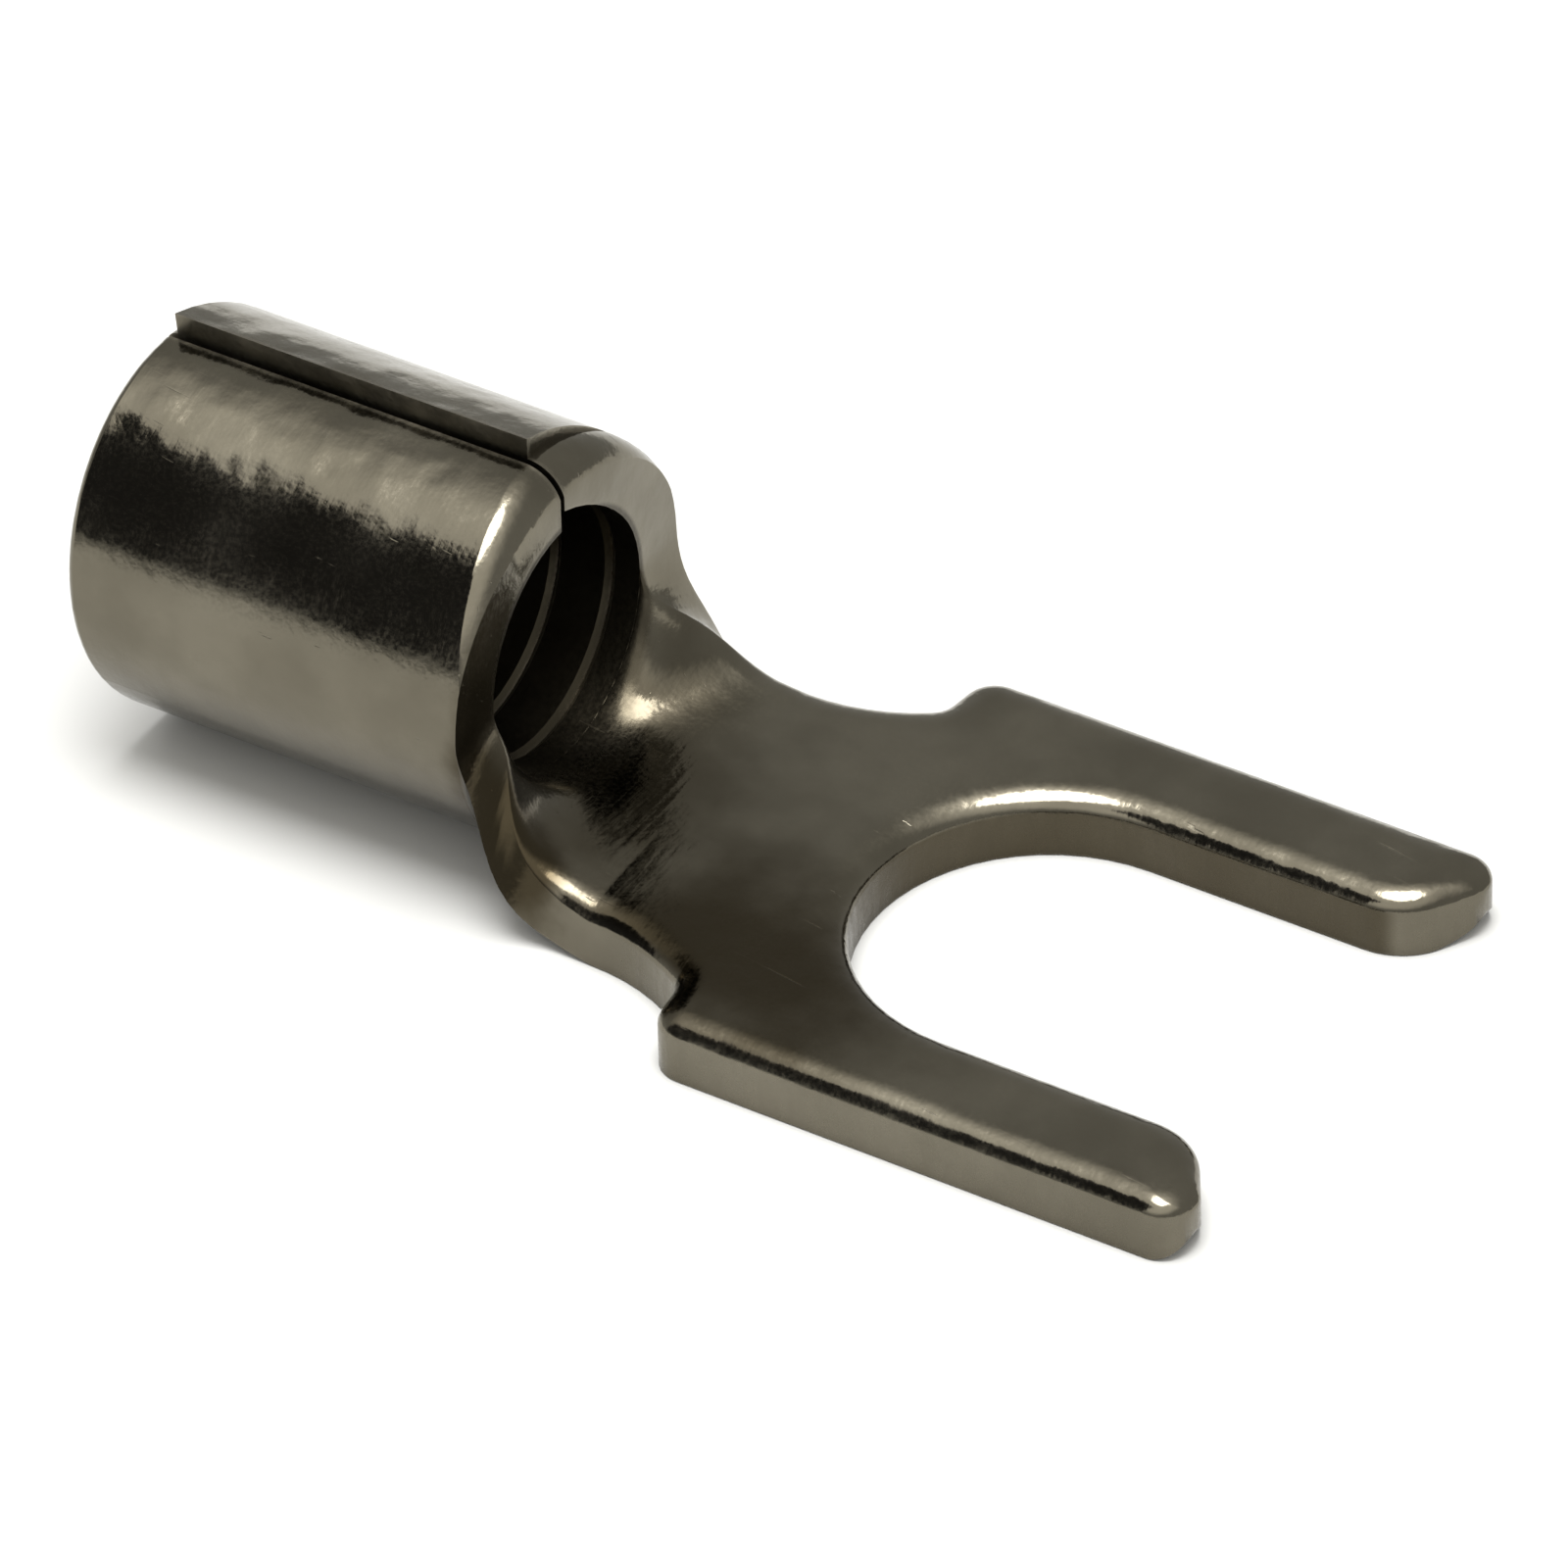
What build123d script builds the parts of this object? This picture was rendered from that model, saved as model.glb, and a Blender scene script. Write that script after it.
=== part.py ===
from build123d import *
import os
from math import atan2, cos, pi, radians, sin, sqrt, tan

# Block spade terminal, blanked from one sheet and rolled into a barrel at one end.
# Millimetres. X runs along the barrel towards the tines, Z is up.
# The origin is on the middle of the tongue's underside, level with its shoulders.

# Sheet
stock = 1.0
roll_width = 0.5
roll_depth = 0.3
roll_share = 0.15
punch_ease = 0.1

# Tongue and its slot
slot_width = 5.64
slot_depth = 8.02
tine_width = 1.78
root_web = 1.08
tip_slant = 1.08
tip_corner = 0.52
tip_lead = 1.1
nose_length = 0.9
nose_drop = 0.3
nose_under = 0.5
nose_rise = 0.4
shoulder_slope = 0.12
shoulder_corner = 0.52
shoulder_fillet = 0.35
corner_share = 0.65
fillet_share = 0.4
rim_share = 0.97

# Neck between the barrel and the shoulders
neck_width = 6.02
neck_length = 4.03
neck_flare = 0.6
neck_cut = 1.7
unroll_length = 2.2
unroll_reach = 0.77
unroll_power = 2.5
cut_stations = 16
flat_stations = 7

# Barrel
barrel_diameter = 5.9
barrel_length = 6.44
rear_round = 0.2
rear_lean = 5.2
rear_skew = 2.9
front_round = 0.6
round_share = 0.45
lip_rise = 0.36
lip_rise_angle = 52
seam_gap = 0.1

# Serrations across the bore
groove_count = 6
groove_pitch = 0.92
groove_first = 0.5
groove_width = 0.18
groove_depth = 0.08

# Derived sizes
barrel_radius = barrel_diameter / 2
bore_radius = barrel_radius - stock
half_slot = slot_width / 2
half_tongue = half_slot + tine_width
half_neck = neck_width / 2
shoulder_width = half_tongue - half_neck - neck_flare
half_gap = seam_gap / 2
lip_turn = radians(lip_rise_angle)
lip_room = barrel_radius - (barrel_radius + lip_rise) * cos(lip_turn)
lip_shift = lip_rise * (barrel_diameter + lip_rise) / lip_room / 2
quarter = pi / 2
quarter_pull = 0.5523
tiny = 0.001

# Places along X
root_x = root_web
stud_x = root_x + half_slot
tip_x = root_x + slot_depth
front_x = -neck_length
rear_x = front_x - barrel_length
flat_x = front_x + unroll_length

# Roundings in the tongue's plan, each held to its share of the edge beside it
corner_rounds = (
    (tip_x, min(tip_corner, fillet_share * tine_width)),
    (tip_x - tip_slant, min(tip_lead, corner_share * tine_width)),
    (shoulder_slope, min(shoulder_corner, corner_share * shoulder_width)),
    (0, min(shoulder_fillet, fillet_share * shoulder_width)),
)
rim_width = min(roll_width, rim_share * min(radius for x, radius in corner_rounds if x))

# Distances in front of the barrel at which the neck's section is drawn
stations = [neck_cut * (1 - cos(quarter * i / cut_stations)) for i in range(cut_stations)]
stations += [neck_cut + (unroll_length - neck_cut) * i / flat_stations for i in range(flat_stations)]


# Share of the barrel's curvature that is left at a distance in front of the barrel
def curvature(along):
    share = 1 / (1 + (along / unroll_reach) ** unroll_power)
    rest = 1 / (1 + (unroll_length / unroll_reach) ** unroll_power)
    return (share - rest * (along / unroll_length) ** 2) / barrel_radius


# Half width of the blank at a distance in front of the barrel
def blank_half(along):
    if along >= neck_cut:
        return half_neck
    return half_neck + neck_cut - sqrt(neck_cut**2 - (neck_cut - along) ** 2)


# Share of the tongue's rolled-over edge that the neck has at a distance in front of the barrel
def edge_roll(along):
    return roll_share + (1 - roll_share) * min(1, along / neck_cut)


# Quarter of an ellipse between two points, in the corner where their tangents meet
def roll_curve(start, corner, end):
    near_start = Vector(*start) + (Vector(*corner) - Vector(*start)) * quarter_pull
    near_end = Vector(*end) + (Vector(*corner) - Vector(*end)) * quarter_pull
    Bezier(start, near_start, near_end, end)


# Point of the sheet's section, at a height above its outside and a share of its half width
def sheet_point(along, height, share):
    radius = 1 / curvature(along)
    angle = share * blank_half(along) / radius
    return ((radius - height) * sin(angle), radius - (radius - height) * cos(angle))


# Points of a section's rolled-over corner: on the cut face, where the tangents meet, on the inside
def roll_points(along, side):
    roll = edge_roll(along)
    inner = 1 / curvature(along) - stock
    end = blank_half(along) * curvature(along)
    back = rim_width * roll / inner
    places = ((inner + roll_depth * roll, end), (inner / cos(back), end), (inner, end - back))
    return [(side * r * sin(turn), inner + stock - r * cos(turn)) for r, turn in places]


# Point on the barrel's round wall, at an angle from the top towards the far side
def wall_point(radius, angle):
    return (radius * sin(angle), barrel_radius + radius * cos(angle))


# Point on the raised far lip, at a distance across from the seam's plane
def lip_point(radius, across):
    centre_y = -lip_shift * sin(lip_turn)
    centre_z = barrel_radius - lip_shift * cos(lip_turn)
    return (across, centre_z + sqrt((radius + lip_shift) ** 2 - (across - centre_y) ** 2))


# Point on the near lip, beside the seam
def near_point(radius):
    return (-half_gap, barrel_radius + sqrt(radius**2 - half_gap**2))


# Angle from the top at which the neck's cut edge leaves the barrel
leave_turn = pi - blank_half(0) / barrel_radius

with BuildPart() as barrel:
    # Rolled wall, open at the seam, with its far lip standing proud of the near one
    with BuildSketch(Plane.YZ.offset(rear_x - stock)) as wall:
        with BuildLine() as wall_line:
            outer_knee = wall_point(barrel_radius, lip_turn)
            inner_knee = wall_point(bore_radius, lip_turn)
            outer_lip = lip_point(barrel_radius, half_gap)
            inner_lip = lip_point(bore_radius, half_gap)
            far_turn = (lip_turn + leave_turn) / 2
            near_turn = -leave_turn / 2
            outer_near, outer_far = [sheet_point(0, 0, side) for side in (-1, 1)]
            inner_near, inner_far = [sheet_point(0, stock, side) for side in (-1, 1)]
            ThreePointArc(near_point(barrel_radius), wall_point(barrel_radius, near_turn), outer_near)
            ThreePointArc(outer_near, (0, 0), outer_far)
            ThreePointArc(outer_far, wall_point(barrel_radius, far_turn), outer_knee)
            ThreePointArc(outer_knee, lip_point(barrel_radius, outer_knee[0] / 2), outer_lip)
            Line(outer_lip, inner_lip)
            ThreePointArc(inner_lip, lip_point(bore_radius, inner_knee[0] / 2), inner_knee)
            ThreePointArc(inner_knee, wall_point(bore_radius, far_turn), inner_far)
            ThreePointArc(inner_far, (0, stock), inner_near)
            ThreePointArc(inner_near, wall_point(bore_radius, near_turn), near_point(bore_radius))
            Line(near_point(bore_radius), near_point(barrel_radius))
        make_face()
    extrude(amount=barrel_length + stock)

    # Ends of the barrel: each is cut square to an axis that leans from the bore's, and rounded outside
    lean = Vector(1, -tan(radians(rear_skew)), tan(radians(rear_lean)))
    rear_plane = Plane((rear_x, 0, barrel_radius), x_dir=lean, z_dir=(-lean.Y, 1, 0))
    with BuildSketch(rear_plane) as rear_end:
        with BuildLine() as rear_line:
            RadiusArc((rear_round, barrel_radius), (0, barrel_radius - rear_round), -rear_round)
            Polyline(
                (0, barrel_radius - rear_round),
                (0, 0),
                (-2 * stock, 0),
                (-2 * stock, barrel_diameter),
                (rear_round, barrel_diameter),
                (rear_round, barrel_radius),
            )
        make_face()
    revolve(axis=Axis(rear_plane.origin, rear_plane.x_dir), mode=Mode.SUBTRACT)
    rim = (front_x, barrel_diameter - round_share * stock)
    with BuildSketch(Plane.XZ) as front_end:
        with BuildLine() as front_line:
            TangentArc((front_x - front_round, barrel_diameter), rim, tangent=(1, 0))
            Polyline(
                rim,
                (front_x + stock, rim[1]),
                (front_x + stock, 2 * barrel_diameter),
                (front_x - front_round, 2 * barrel_diameter),
                (front_x - front_round, barrel_diameter),
            )
        make_face()
    tilt = atan2(front_round, barrel_radius * (1 + cos(leave_turn)))
    front_axis = Axis((front_x, 0, barrel_radius), (cos(tilt), 0, sin(tilt)))
    revolve(axis=front_axis, mode=Mode.SUBTRACT)

    # Serrations in the bore
    with BuildSketch(Plane.XZ) as serration:
        for i in range(groove_count):
            with Locations((front_x - groove_first - i * groove_pitch, stock)):
                Polygon(
                    (-groove_width / 2, 0),
                    (0, -groove_depth),
                    (groove_width / 2, 0),
                    (0, groove_depth),
                    align=None,
                )
    revolve(axis=Axis((0, 0, barrel_radius), (1, 0, 0)), mode=Mode.SUBTRACT)

with BuildPart() as neck:
    # Sheet opening from the barrel's round to the flat tongue
    for along in stations:
        with BuildSketch(Plane.YZ.offset(front_x + along)) as station:
            with BuildLine() as station_line:
                far_roll = roll_points(along, 1)
                near_roll = roll_points(along, -1)
                ThreePointArc(*[sheet_point(along, 0, share) for share in (-1, 0, 1)])
                Line(sheet_point(along, 0, 1), far_roll[0])
                roll_curve(*far_roll)
                ThreePointArc(far_roll[-1], sheet_point(along, stock, 0), near_roll[-1])
                roll_curve(*reversed(near_roll))
                Line(near_roll[0], sheet_point(along, 0, -1))
            make_face()
    with BuildSketch(Plane.YZ.offset(flat_x)) as flat_station:
        with BuildLine() as flat_line:
            Line((-half_neck, 0), (half_neck, 0))
            Line((half_neck, 0), (half_neck, stock - roll_depth))
            roll_curve((half_neck, stock - roll_depth), (half_neck, stock), (half_neck - rim_width, stock))
            Line((half_neck - rim_width, stock), (rim_width - half_neck, stock))
            roll_curve((rim_width - half_neck, stock), (-half_neck, stock), (-half_neck, stock - roll_depth))
            Line((-half_neck, stock - roll_depth), (-half_neck, 0))
        make_face()
    loft(ruled=True)

with BuildPart() as tongue:
    # Flat tongue with its open slot
    with BuildSketch(Plane.XY) as plan:
        with BuildLine() as plan_line:
            Line((flat_x, 0), (flat_x, half_neck))
            flare = TangentArc((flat_x, half_neck), (0, half_neck + neck_flare), tangent=(1, 0))
            Line(flare @ 1, (shoulder_slope, half_tongue))
            Line((shoulder_slope, half_tongue), (tip_x, half_tongue))
            Line((tip_x, half_tongue), (tip_x - tip_slant, half_slot))
            Line((tip_x - tip_slant, half_slot), (stud_x, half_slot))
            CenterArc((stud_x, 0), half_slot, 90, 90)
            mirror(about=Plane.XZ)
        make_face()
        for x, radius in corner_rounds:
            fillet(plan.vertices().filter_by(lambda v: abs(v.X - x) < tiny), radius)
    extrude(amount=stock)

    # Tips, worn round above and below
    reach_x = tongue.part.bounding_box().max.X
    with BuildSketch(Plane.XZ) as nose:
        with BuildLine() as nose_line:
            roll_curve((reach_x, nose_rise), (reach_x, 0), (reach_x - nose_under, 0))
            Polyline(
                (reach_x - nose_under, 0),
                (reach_x - nose_under, -punch_ease),
                (reach_x + punch_ease, -punch_ease),
                (reach_x + punch_ease, stock + punch_ease),
                (reach_x - nose_length, stock + punch_ease),
                (reach_x - nose_length, stock),
            )
            roll_curve((reach_x - nose_length, stock), (reach_x, stock), (reach_x, stock - nose_drop))
            Line((reach_x, stock - nose_drop), (reach_x, nose_rise))
        make_face()
    extrude(amount=half_tongue + punch_ease, both=True, mode=Mode.SUBTRACT)

    # Edges that the punch rolled over, all round but where the neck joins
    outline = plan.wire().moved(Location((0, 0, stock)))
    with BuildLine() as rim:
        add(outline.edges().filter_by(lambda e: (e @ 0.5).X > flat_x + tiny))
    with BuildSketch(Plane((stud_x, half_tongue, stock), x_dir=(0, -1, 0), z_dir=(-1, 0, 0))) as corner:
        with BuildLine() as corner_line:
            roll_curve((0, -roll_depth), (0, 0), (rim_width, 0))
            Polyline(
                (rim_width, 0),
                (rim_width, punch_ease),
                (-punch_ease, punch_ease),
                (-punch_ease, -roll_depth),
                (0, -roll_depth),
            )
        make_face()
    sweep(path=rim.wire(), mode=Mode.SUBTRACT)

with BuildPart() as terminal:
    add(barrel.part)
    add(neck.part)
    add(tongue.part)

os.makedirs("parts", exist_ok=True)
terminal.part.label = "terminal"
export_step(terminal.part, "parts/terminal.step")
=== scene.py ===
import math
from functools import reduce

import bpy
from mathutils import Matrix, Vector

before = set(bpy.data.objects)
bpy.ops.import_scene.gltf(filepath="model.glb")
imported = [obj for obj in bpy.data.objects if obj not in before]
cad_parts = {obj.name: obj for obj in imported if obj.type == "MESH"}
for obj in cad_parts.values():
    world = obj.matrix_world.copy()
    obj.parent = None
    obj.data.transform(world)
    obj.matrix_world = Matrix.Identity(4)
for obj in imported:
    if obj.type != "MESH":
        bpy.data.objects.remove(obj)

MM = 0.001

# The photograph's view, in millimetres and degrees, and the camera's clipping in metres
AIM = (-0.79, 0.557, 1.251)
AZIMUTH = 32.336
ELEVATION = 38.106
ROLL = -1.249
DISTANCE = 212.67
LENS = 343.74
CLIP_START = 0.01
CLIP_END = 10

# Stage: sizes in millimetres, places as azimuth, elevation and distance, power in watts
FLOOR_SIZE = 3000
FLOOR_HEIGHT = -0.02
CARD_WIDTH = 320
CARD_HEIGHT = 420
CARD_PLACE = (-43, 31, 420)
LAMP_SIZE = 300
LAMP_POWER = 2.7
LAMP_PLACE = (20, 86, 500)

# Room: how far its window leans over the near side, and the heights at which its parts blend
WINDOW_LEAN = 0.4
WINDOW_SPAN = (0.55, 0.95)
ZENITH_SPAN = (0.9, 0.97)

# Light in red, green, blue and alpha, where 1 is white
FLOOR = (0.63, 0.63, 0.62, 1)
WALLS = (0.52, 0.52, 0.5, 1)
WINDOW = (1.7, 1.68, 1.6, 1)
ZENITH = (2.2, 2.17, 2.08, 1)
DARK = (0.05, 0.05, 0.052, 1)

# Colours of the metal
TIN_LIGHT = (0.178, 0.162, 0.126, 1)
TIN_DARK = (0.137, 0.124, 0.095, 1)
# tarnish on the seam, also the colour of the painted shade on the slot walls, in corners and at the
# mouth, and of the darker spots on the tongue and neck
TARNISH_AND_SHADE = (0.042, 0.033, 0.019, 1)
WORN = (0.27, 0.245, 0.2, 1)
# colour of the painted shade inside the bore
BORE_SHADE = (0.04, 0.034, 0.023, 1)

# How much of its own colour each layer lays over the tin
PATCH_SHARE = 0.35
TONGUE_DARK_SHARE = 0.95
SLOT_SHADE_SHARE = 0.7
WORN_SHARE = 0.3
CORNER_SHADE_SHARE = 0.6
MOUTH_SHADE_SHARE = 0.55
NECK_DARK_SHARE = 0.9
BORE_SHADE_SHARE = 0.9
SEAM_SHARE = 0.1

# Smoothing of the solid's own facets, in millimetres and degrees
WELD_REACH = 0.002
SHARP_ANGLE = 32
FACE_WEIGHT = 100

# Places on the part, in millimetres, and the spans over which the masks fade there
BARREL_RADIUS = 2.95
BORE_SPAN = (1.99, 2.07)
MOUTH_SPAN = (-4.33, -2.83)
SEAM_SIDE = (0.08, 0.16)
SEAM_HEIGHT = (4.4, 4.8)
SEAM_FRONT = (-3.6, -3.5)
TONGUE_START = (-1.9, -1.2)
SLOT_SIDE = (2.84, 2.95)
DENT_HEIGHT = (5.0, 5.6)
DENT_FRONT = (-5.5, -4.9)

# Darker spots: the centre, how much each axis is shrunk, and the distances between which it fades
TONGUE_DARK_SPOT = ((0.6, -2.9, 1.0), (0.3, 0.4, 0.5), (0.8, 1.9))
# the spot at the mouth is painted shade in the trough
MOUTH_SHADE_SPOT = ((-3.4, -0.6, 1.5), (0.55, 0.4, 0.4), (1.2, 1.9))
NECK_DARK_SPOT = ((-3.15, -2.9, 2.2), (0.8, 0.9, 0.4), (1.0, 1.5))

# How far corners, for the painted shade in them, and rubbed edges are looked for, in millimetres, and
# where their masks fade
SHADE_REACH = 2.2
SHADE_SAMPLES = 6
SHADE_SPAN = (0.2, 0.7)
EDGE_REACH = 0.07
EDGE_SAMPLES = 4
EDGE_SPAN = (0.82, 0.985)

# Upward share of the normal at which a face stops being steep, and at which it becomes level
STEEP_SPAN = (0.15, 0.5)
LEVEL_SPAN = (0.5, 0.9)

# Noises: waves in a millimetre along each axis, detail and turn about Z in degrees
WANDER = ((0.7, 0.7, 0.7), 4, 0)
CLOUD = ((0.55, 0.55, 0.55), 5, 0)
PATCH = ((1.7, 1.7, 1.7), 3, 0)
GRAIN = ((16, 16, 16), 2, 0)
RING_MARKS = ((9, 0.9, 0.9), 4, 0)
SHEAR_MARKS = ((6, 6, 1.2), 4, 0)
LONG_SCRATCH = ((0.35, 11, 11), 2, 8)
SHORT_SCRATCH = ((9, 1.1, 4), 1, -34)
DENTS = ((1.3, 1.3, 1.3), 1, 0)

# Values of the noises between which their effect comes up, and their mean
MIDDLE = (0.3, 0.7)
CLOUD_SPAN = (0.3, 0.75)
PATCH_SPAN = (0.5, 0.8)
LONG_SPAN = (0.72, 0.78)
SHORT_SPAN = (0.79, 0.86)
MEAN = 0.5

# Roughness of the tin, and what the marks add to it
TIN_ROUGH = (0.11, 0.19)
GRAIN_ROUGH = (-0.03, 0.05)
SHEAR_ROUGH = (0.06, 0.2)
SCRATCH_ROUGH = 0.12
DIRT_ROUGH = 0.2

# Depth of the relief, in millimetres
DENT_DEPTH = 0.05
PATCH_DEPTH = 0.014
RING_DEPTH = 0.0025
GRAIN_DEPTH = 0.0012
SHEAR_DEPTH = 0.006
SCRATCH_DEPTH = 0.002

# Ends of a ramp that comes up and of one that goes down
RISE = (0, 1)
FALL = (1, 0)


def direction(azimuth, elevation):
    """Unit vector from the object, azimuth 0 towards -Y and 90 towards +X."""
    turn = math.radians(azimuth)
    lift = math.radians(elevation)
    return Vector((math.sin(turn) * math.cos(lift), -math.cos(turn) * math.cos(lift), math.sin(lift)))


def facing(back, roll):
    """Rotation of an object whose -Z looks along -back, turned about it by roll degrees."""
    right = Vector((0, 0, 1)).cross(back).normalized()
    up = back.cross(right)
    turn = Matrix((right, up, back)).transposed()
    return turn @ Matrix.Rotation(math.radians(roll), 3, "Z")


def place(obj, azimuth, elevation, distance, aim=(0, 0, 0), roll=0.0):
    """Put an object at a distance from the aim, looking at it, and add it to the scene."""
    back = direction(azimuth, elevation)
    spot = Vector(aim) * MM + back * distance * MM
    obj.matrix_world = Matrix.Translation(spot) @ facing(back, roll).to_4x4()
    bpy.context.scene.collection.objects.link(obj)


class Graph:
    """The nodes of one material or world, added from their inputs."""

    def __init__(self, owner):
        owner.use_nodes = True
        self.tree = owner.node_tree
        self.tree.nodes.clear()

    def add(self, kind, inputs=None, **settings):
        """Node of a kind, with each input linked to a socket or set to a plain value."""
        node = self.tree.nodes.new("ShaderNode" + kind)
        for name, value in settings.items():
            setattr(node, name, value)
        for key, value in (inputs or {}).items():
            if isinstance(value, bpy.types.NodeSocket):
                self.tree.links.new(value, node.inputs[key])
            else:
                node.inputs[key].default_value = value
        return node

    def math(self, operation, *values):
        return self.add("Math", dict(enumerate(values)), operation=operation).outputs[0]

    def product(self, *values):
        return reduce(lambda first, second: self.math("MULTIPLY", first, second), values)

    def total(self, *values):
        return reduce(lambda first, second: self.math("ADD", first, second), values)

    def vector(self, operation, *values):
        return self.add("VectorMath", dict(enumerate(values)), operation=operation).outputs["Vector"]

    def measure(self, operation, *values):
        return self.add("VectorMath", dict(enumerate(values)), operation=operation).outputs["Value"]

    def ramp(self, value, span, ends=RISE):
        """Value taken from a span to the two ends, smoothly and held at both of them."""
        inputs = {"Value": value, "From Min": span[0], "From Max": span[1]}
        inputs |= {"To Min": ends[0], "To Max": ends[1]}
        return self.add("MapRange", inputs, interpolation_type="SMOOTHSTEP").outputs[0]

    def blend(self, share, first, second):
        """Colour from the first to the second, through the sockets that a Mix node has for colours."""
        return self.add("Mix", {0: share, 6: first, 7: second}, data_type="RGBA").outputs[2]

    def finish(self, shader, output="OutputMaterial"):
        self.add(output, {"Surface": shader})


class Tin(Graph):
    """The metal's nodes, with the places, noises and masks that its channels share."""

    def __init__(self, material):
        super().__init__(material)
        metres = self.add("TexCoord").outputs["Object"]
        self.places = self.vector("MULTIPLY", metres, (1 / MM,) * 3)
        self.x, self.y, self.z = self.add("SeparateXYZ", {0: self.places}).outputs
        self.side = self.math("ABSOLUTE", self.y)
        self.normal = self.add("NewGeometry").outputs["Normal"]
        self.upward = self.add("SeparateXYZ", {0: self.normal}).outputs["Z"]
        self.wander = self.noise(*WANDER)
        self.cloud = self.noise(*CLOUD)
        self.patch = self.noise(*PATCH)
        self.grain = self.noise(*GRAIN)
        self.shear = self.noise(*SHEAR_MARKS)
        self.cut = self.cut_mask()
        self.seam = self.seam_mask()
        self.bore = self.bore_mask()
        self.scratch = self.scratch_mask()

    def noise(self, waves, detail, turn):
        """Noise of 0..1 over the part's places, turned first and then stretched."""
        turn = (0, 0, math.radians(turn))
        turned = self.add("Mapping", {"Vector": self.places, "Rotation": turn}).outputs[0]
        inputs = {"Vector": self.vector("MULTIPLY", turned, waves), "Scale": 1.0, "Detail": detail}
        return self.add("TexNoise", inputs).outputs[0]

    def distance(self, centre, shrink):
        """How far a place lies from a centre, with each axis shrunk by its own share."""
        offset = self.vector("SUBTRACT", self.places, centre)
        return self.measure("LENGTH", self.vector("MULTIPLY", offset, shrink))

    def spot(self, centre, shrink, span):
        """Darker spot round a centre, with an uneven edge."""
        return self.ramp(self.total(self.distance(centre, shrink), self.wander), span, FALL)

    def bump(self, height, depth, normal=None):
        """Normal bent by a height of 0..1, as deep as the given millimetres."""
        inputs = {"Height": height, "Distance": depth * MM, "Strength": 1.0}
        if normal:
            inputs["Normal"] = normal
        return self.add("Bump", inputs).outputs[0]

    def cut_mask(self):
        """Steep sides of the tongue, where the sheet was sheared."""
        steep = self.ramp(self.math("ABSOLUTE", self.upward), STEEP_SPAN, FALL)
        return self.product(steep, self.ramp(self.x, TONGUE_START))

    def seam_mask(self):
        """The two faces of the seam on top of the barrel."""
        beside = self.ramp(self.side, SEAM_SIDE, FALL)
        return self.product(beside, self.ramp(self.z, SEAM_HEIGHT), self.ramp(self.x, SEAM_FRONT, FALL))

    def bore_mask(self):
        """Wall of the bore, up to the barrel's mouth."""
        radius = self.distance((0, 0, BARREL_RADIUS), (0, 1, 1))
        return self.product(self.ramp(radius, BORE_SPAN, FALL), self.ramp(self.x, MOUTH_SPAN, FALL))

    def scratch_mask(self):
        """A few thin scratches, long ones along the part and short ones slanting across it."""
        long_scratch = self.ramp(self.noise(*LONG_SCRATCH), LONG_SPAN)
        short_scratch = self.ramp(self.noise(*SHORT_SCRATCH), SHORT_SPAN)
        return self.math("MAXIMUM", long_scratch, short_scratch)

    def corner_shade_mask(self):
        """Painted shade in corners that little light reaches."""
        reach = {"Distance": SHADE_REACH * MM}
        light = self.add("AmbientOcclusion", reach, samples=SHADE_SAMPLES).outputs["AO"]
        return self.ramp(light, SHADE_SPAN, FALL)

    def worn_mask(self):
        """Edges that rubbed bright."""
        edge = self.add("Bevel", {"Radius": EDGE_REACH * MM}, samples=EDGE_SAMPLES).outputs[0]
        return self.ramp(self.measure("DOT_PRODUCT", edge, self.normal), EDGE_SPAN, FALL)

    def dent_height(self):
        """Shallow dents on top of the barrel, beside the seam."""
        dented = self.product(self.ramp(self.z, DENT_HEIGHT), self.ramp(self.x, DENT_FRONT, FALL))
        return self.product(dented, self.math("SUBTRACT", self.noise(*DENTS), MEAN))

    def colour(self):
        """Mottled tin under a darker patch on the tongue, painted shade on the slot walls, worn edges,
        painted shade in corners and at the mouth, a darker spot on the neck, painted shade in the bore
        and tarnish on the seam, laid on in this order.
        """
        # darker patch on the level faces of the tongue's near side
        tongue_dark_patch = self.product(self.spot(*TONGUE_DARK_SPOT), self.ramp(self.upward, LEVEL_SPAN))
        # painted shade on the tongue's inner slot walls, between the tines
        slot = self.product(self.cut, self.ramp(self.side, SLOT_SIDE, FALL))
        layers = (
            (self.ramp(self.patch, PATCH_SPAN), PATCH_SHARE, TIN_DARK),
            (tongue_dark_patch, TONGUE_DARK_SHARE, TARNISH_AND_SHADE),
            (slot, SLOT_SHADE_SHARE, TARNISH_AND_SHADE),
            (self.worn_mask(), WORN_SHARE, WORN),
            # painted shade: corners darkened where little light reaches
            (self.corner_shade_mask(), CORNER_SHADE_SHARE, TARNISH_AND_SHADE),
            # painted shade in the trough at the barrel's mouth
            (self.spot(*MOUTH_SHADE_SPOT), MOUTH_SHADE_SHARE, TARNISH_AND_SHADE),
            # darker spot on the neck's near edge, below the barrel's front
            (self.spot(*NECK_DARK_SPOT), NECK_DARK_SHARE, TARNISH_AND_SHADE),
            # painted shade: the bore's wall darkened nearly to black
            (self.bore, BORE_SHADE_SHARE, BORE_SHADE),
            (self.product(self.seam, self.ramp(self.patch, MIDDLE)), SEAM_SHARE, TARNISH_AND_SHADE),
        )
        colour = self.blend(self.ramp(self.cloud, MIDDLE), TIN_DARK, TIN_LIGHT)
        for mask, share, layer in layers:
            colour = self.blend(self.product(mask, share), colour, layer)
        return colour

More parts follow.
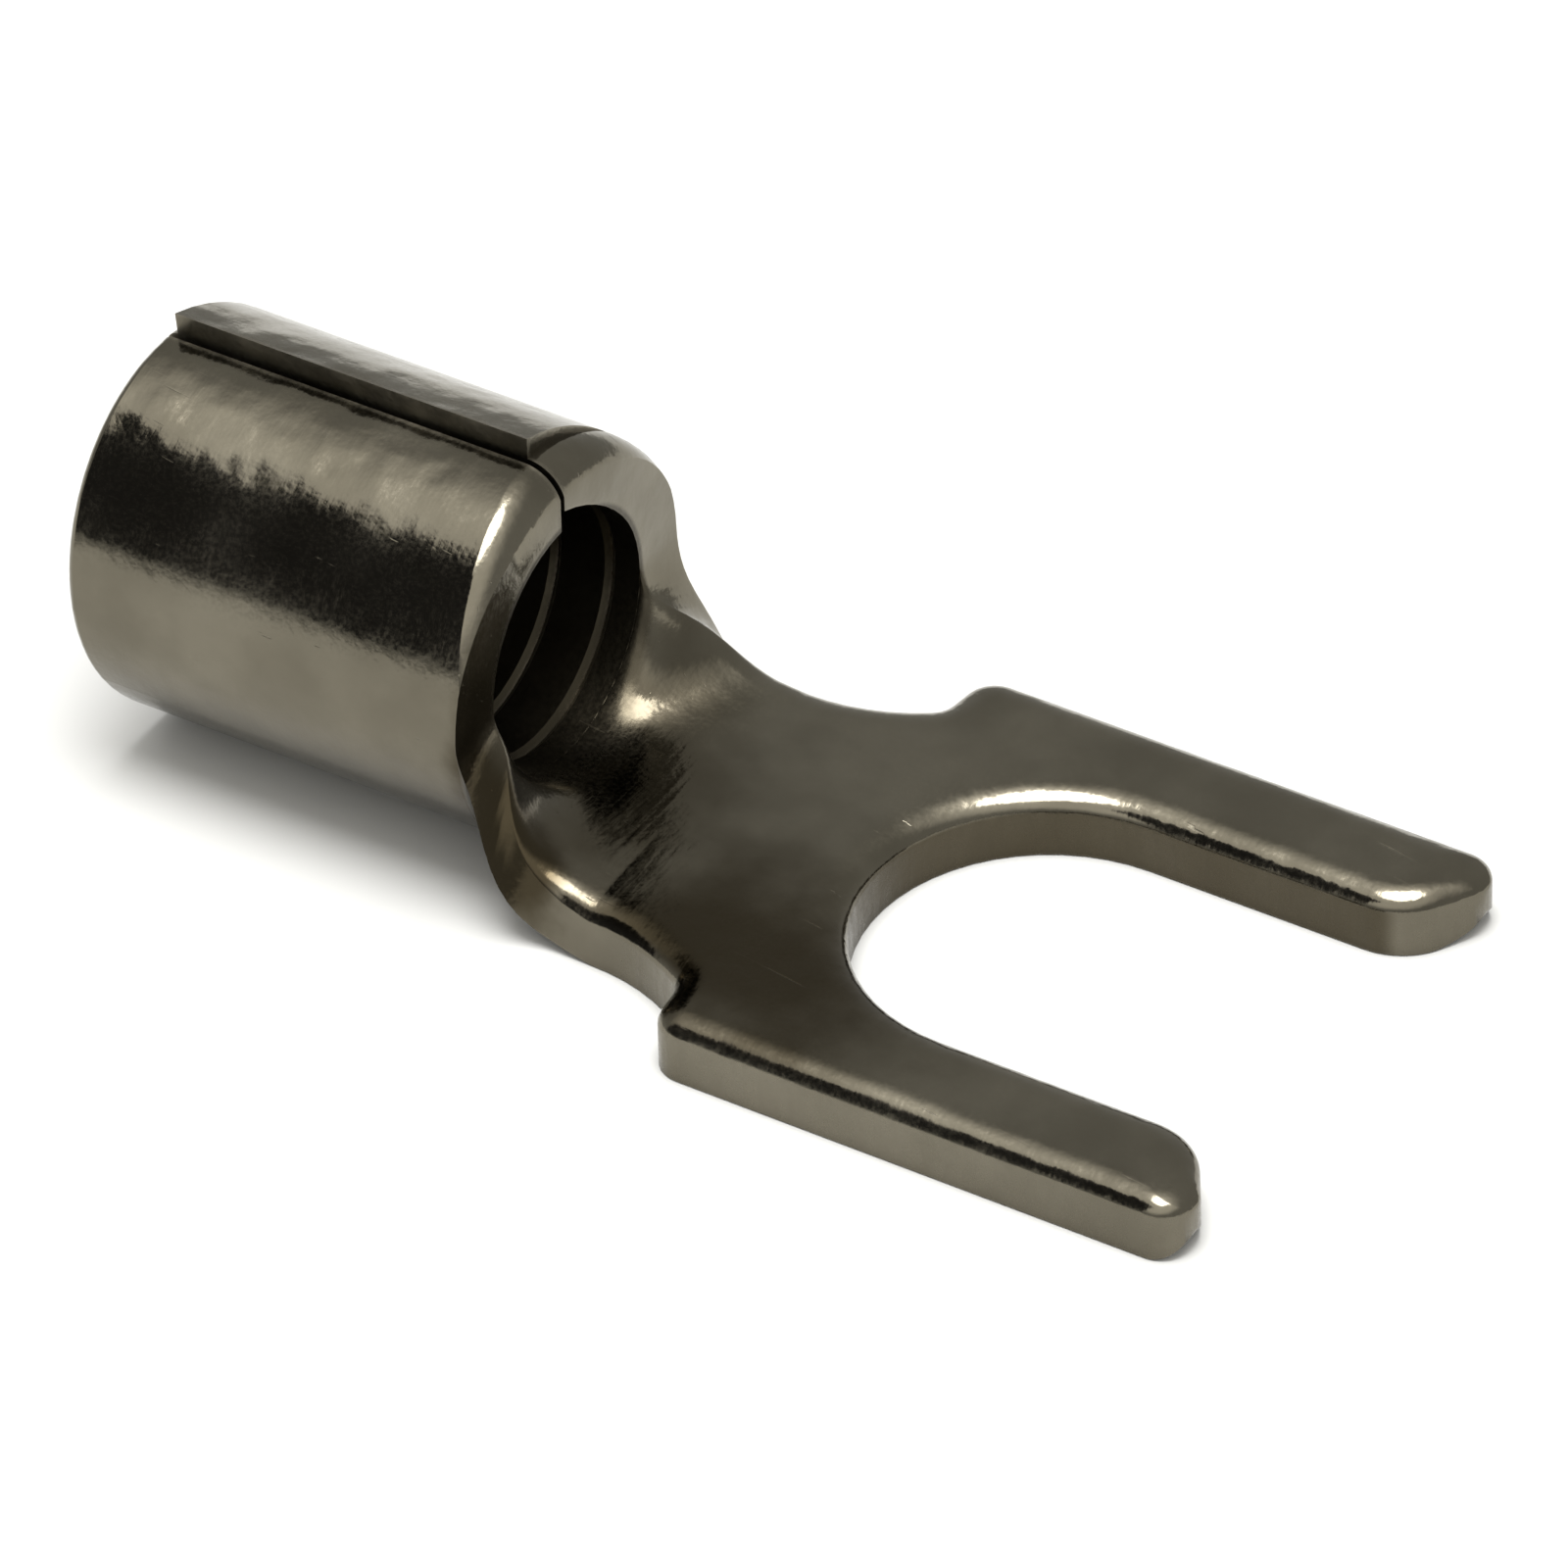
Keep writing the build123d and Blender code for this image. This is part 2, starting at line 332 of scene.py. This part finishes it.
    def roughness(self):
        return self.total(
            self.ramp(self.cloud, CLOUD_SPAN, TIN_ROUGH),
            self.ramp(self.grain, MIDDLE, GRAIN_ROUGH),
            self.product(self.cut, self.ramp(self.shear, MIDDLE, SHEAR_ROUGH)),
            self.product(self.scratch, SCRATCH_ROUGH),
            self.product(self.math("MAXIMUM", self.seam, self.bore), DIRT_ROUGH),
        )

    def relief(self):
        """Normal bent by the dents, mottling, rolling marks, grain, shearing marks and scratches."""
        normal = self.bump(self.dent_height(), DENT_DEPTH)
        normal = self.bump(self.patch, PATCH_DEPTH, normal)
        normal = self.bump(self.noise(*RING_MARKS), RING_DEPTH, normal)
        normal = self.bump(self.grain, GRAIN_DEPTH, normal)
        normal = self.bump(self.product(self.cut, self.shear), SHEAR_DEPTH, normal)
        return self.bump(self.product(self.scratch, -1), SCRATCH_DEPTH, normal)


def plain_material(name, shader, colour):
    material = bpy.data.materials.new(name)
    graph = Graph(material)
    graph.finish(graph.add(shader, {"Color": colour}).outputs[0])
    return material


def tin_material():
    material = bpy.data.materials.new("tinned_copper")
    tin = Tin(material)
    inputs = {"Base Color": tin.colour(), "Metallic": 1.0, "Roughness": tin.roughness()}
    inputs["Normal"] = tin.relief()
    tin.finish(tin.add("BsdfPrincipled", inputs).outputs[0])
    return material


def card(name, material, width, height):
    """Flat rectangle for the stage, in millimetres, facing up."""
    mesh = bpy.data.meshes.new(name)
    right = width * MM / 2
    top = height * MM / 2
    corners = [(-right, -top, 0), (right, -top, 0), (right, top, 0), (-right, top, 0)]
    mesh.from_pydata(corners, [], [(0, 1, 2, 3)])
    mesh.materials.append(material)
    obj = bpy.data.objects.new(name, mesh)
    return obj


def add_camera():
    data = bpy.data.cameras.new("camera")
    data.lens = LENS
    data.clip_start = CLIP_START
    data.clip_end = CLIP_END
    camera = bpy.data.objects.new("camera", data)
    place(camera, AZIMUTH, ELEVATION, DISTANCE, AIM, ROLL)
    bpy.context.scene.camera = camera


def add_room():
    """Dim walls, with a bright window high on the near side and a glow overhead."""
    world = bpy.data.worlds.new("room")
    graph = Graph(world)
    looking = graph.add("TexCoord").outputs["Generated"]
    across, up = graph.add("SeparateXYZ", {0: looking}).outputs[1:]
    height = graph.math("SUBTRACT", up, graph.math("MULTIPLY", across, WINDOW_LEAN))
    wall = graph.blend(graph.ramp(height, WINDOW_SPAN), WALLS, WINDOW)
    wall = graph.blend(graph.ramp(up, ZENITH_SPAN), wall, ZENITH)
    graph.finish(graph.add("Background", {"Color": wall}).outputs[0], "OutputWorld")
    bpy.context.scene.world = world


def add_floor():
    floor = card("floor", plain_material("floor_white", "BsdfDiffuse", FLOOR), FLOOR_SIZE, FLOOR_SIZE)
    bpy.context.scene.collection.objects.link(floor)
    floor.location.z = FLOOR_HEIGHT * MM


def add_dark_card():
    """Card that the barrel's near side mirrors as a dark band."""
    material = plain_material("dark_card", "Emission", DARK)
    place(card("dark_card", material, CARD_WIDTH, CARD_HEIGHT), *CARD_PLACE)


def add_lamp():
    lamp = bpy.data.lights.new("overhead", "AREA")
    lamp.shape = "DISK"
    lamp.size = LAMP_SIZE * MM
    lamp.energy = LAMP_POWER
    place(bpy.data.objects.new("overhead", lamp), *LAMP_PLACE)


def smooth_part(obj):
    """Shade the sheet smooth across the solid's own faces, sharp at its real edges."""
    mesh = obj.data
    if "custom_normal" in mesh.attributes:
        mesh.attributes.remove(mesh.attributes["custom_normal"])
    mesh.shade_smooth()
    weld = obj.modifiers.new("weld", "WELD")
    weld.merge_threshold = WELD_REACH * MM
    split = obj.modifiers.new("sharp_edges", "EDGE_SPLIT")
    split.split_angle = math.radians(SHARP_ANGLE)
    weighted = obj.modifiers.new("weighted_normals", "WEIGHTED_NORMAL")
    weighted.weight = FACE_WEIGHT


def add_tin():
    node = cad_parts["terminal"]
    smooth_part(node)
    node.data.materials.clear()
    node.data.materials.append(tin_material())


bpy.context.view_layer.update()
bpy.context.scene.view_settings.view_transform = "Standard"
add_camera()
add_floor()
add_dark_card()
add_lamp()
add_room()
add_tin()
